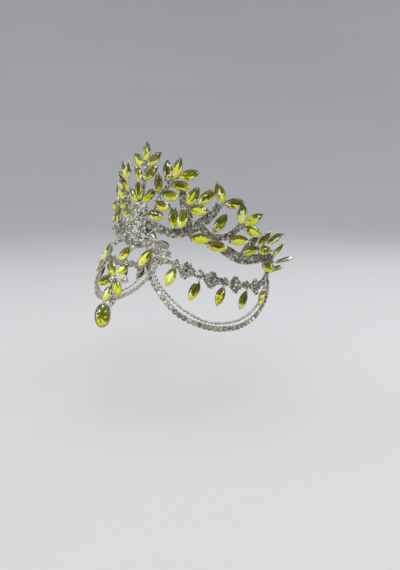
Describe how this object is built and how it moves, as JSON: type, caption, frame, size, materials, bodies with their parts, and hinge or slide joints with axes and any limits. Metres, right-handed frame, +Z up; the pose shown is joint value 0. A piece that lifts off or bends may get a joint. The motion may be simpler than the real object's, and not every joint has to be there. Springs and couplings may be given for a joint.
{
  "type": "bridal crown",
  "caption": "Open-backed bridal crown of leaf sprays and paved arches, with side bands and drops, draped chain swags and a forehead drop.",
  "frame": {"origin": "centre of the crown's base ring, where it sits on the head", "axes": "+Z up as worn, the front faces -Y, +X towards the wearer's left"},
  "size_m": [0.1914, 0.1668, 0.1664],
  "materials": {
    "clear_stones": "small clear stones set close together in bright silver metal",
    "citrine_stones": "faceted yellow-green marquise stones in silver claws",
    "oval_citrine": "large faceted oval yellow-green stone",
    "setting_silver": "bright silver plate",
    "chain_silver": "bright silver plate with clear stones"
  },
  "bodies": {
    "root": {"front_plate": "clear_stones", "centre_tree": "citrine_stones", "arch_front_left": "clear_stones", "scroll_left": "clear_stones", "arch_rear_left": "clear_stones", "plume_left": "citrine_stones", "star_left": "citrine_stones", "fork_left": "citrine_stones", "trefoil_left": "citrine_stones", "trail_left": "citrine_stones", "vine_left": "citrine_stones", "fan_left": "citrine_stones", "tail_left": "citrine_stones", "band_left": "clear_stones", "band_drop_left_1": "citrine_stones", "band_drop_left_2": "citrine_stones", "band_drop_left_3": "citrine_stones", "band_drop_left_4": "citrine_stones", "band_drop_left_5": "citrine_stones", "band_drop_left_6": "citrine_stones", "cup_chain_left": "chain_silver", "ball_chain_left": "chain_silver", "arch_front_right": "clear_stones", "scroll_right": "clear_stones", "arch_rear_right": "clear_stones", "plume_right": "citrine_stones", "star_right": "citrine_stones", "fork_right": "citrine_stones", "trefoil_right": "citrine_stones", "trail_right": "citrine_stones", "vine_right": "citrine_stones", "fan_right": "citrine_stones", "tail_right": "citrine_stones", "band_right": "clear_stones", "band_drop_right_1": "citrine_stones", "band_drop_right_2": "citrine_stones", "band_drop_right_3": "citrine_stones", "band_drop_right_4": "citrine_stones", "band_drop_right_5": "citrine_stones", "band_drop_right_6": "citrine_stones", "cup_chain_right": "chain_silver", "ball_chain_right": "chain_silver", "drop_link_top": "clear_stones", "drop_leaf": "citrine_stones", "drop_link_middle": "clear_stones", "drop_flower": "citrine_stones", "drop_link_lower": "clear_stones", "drop_oval_setting": "setting_silver", "drop_oval_stone": "oval_citrine"}
  },
  "joints": []
}
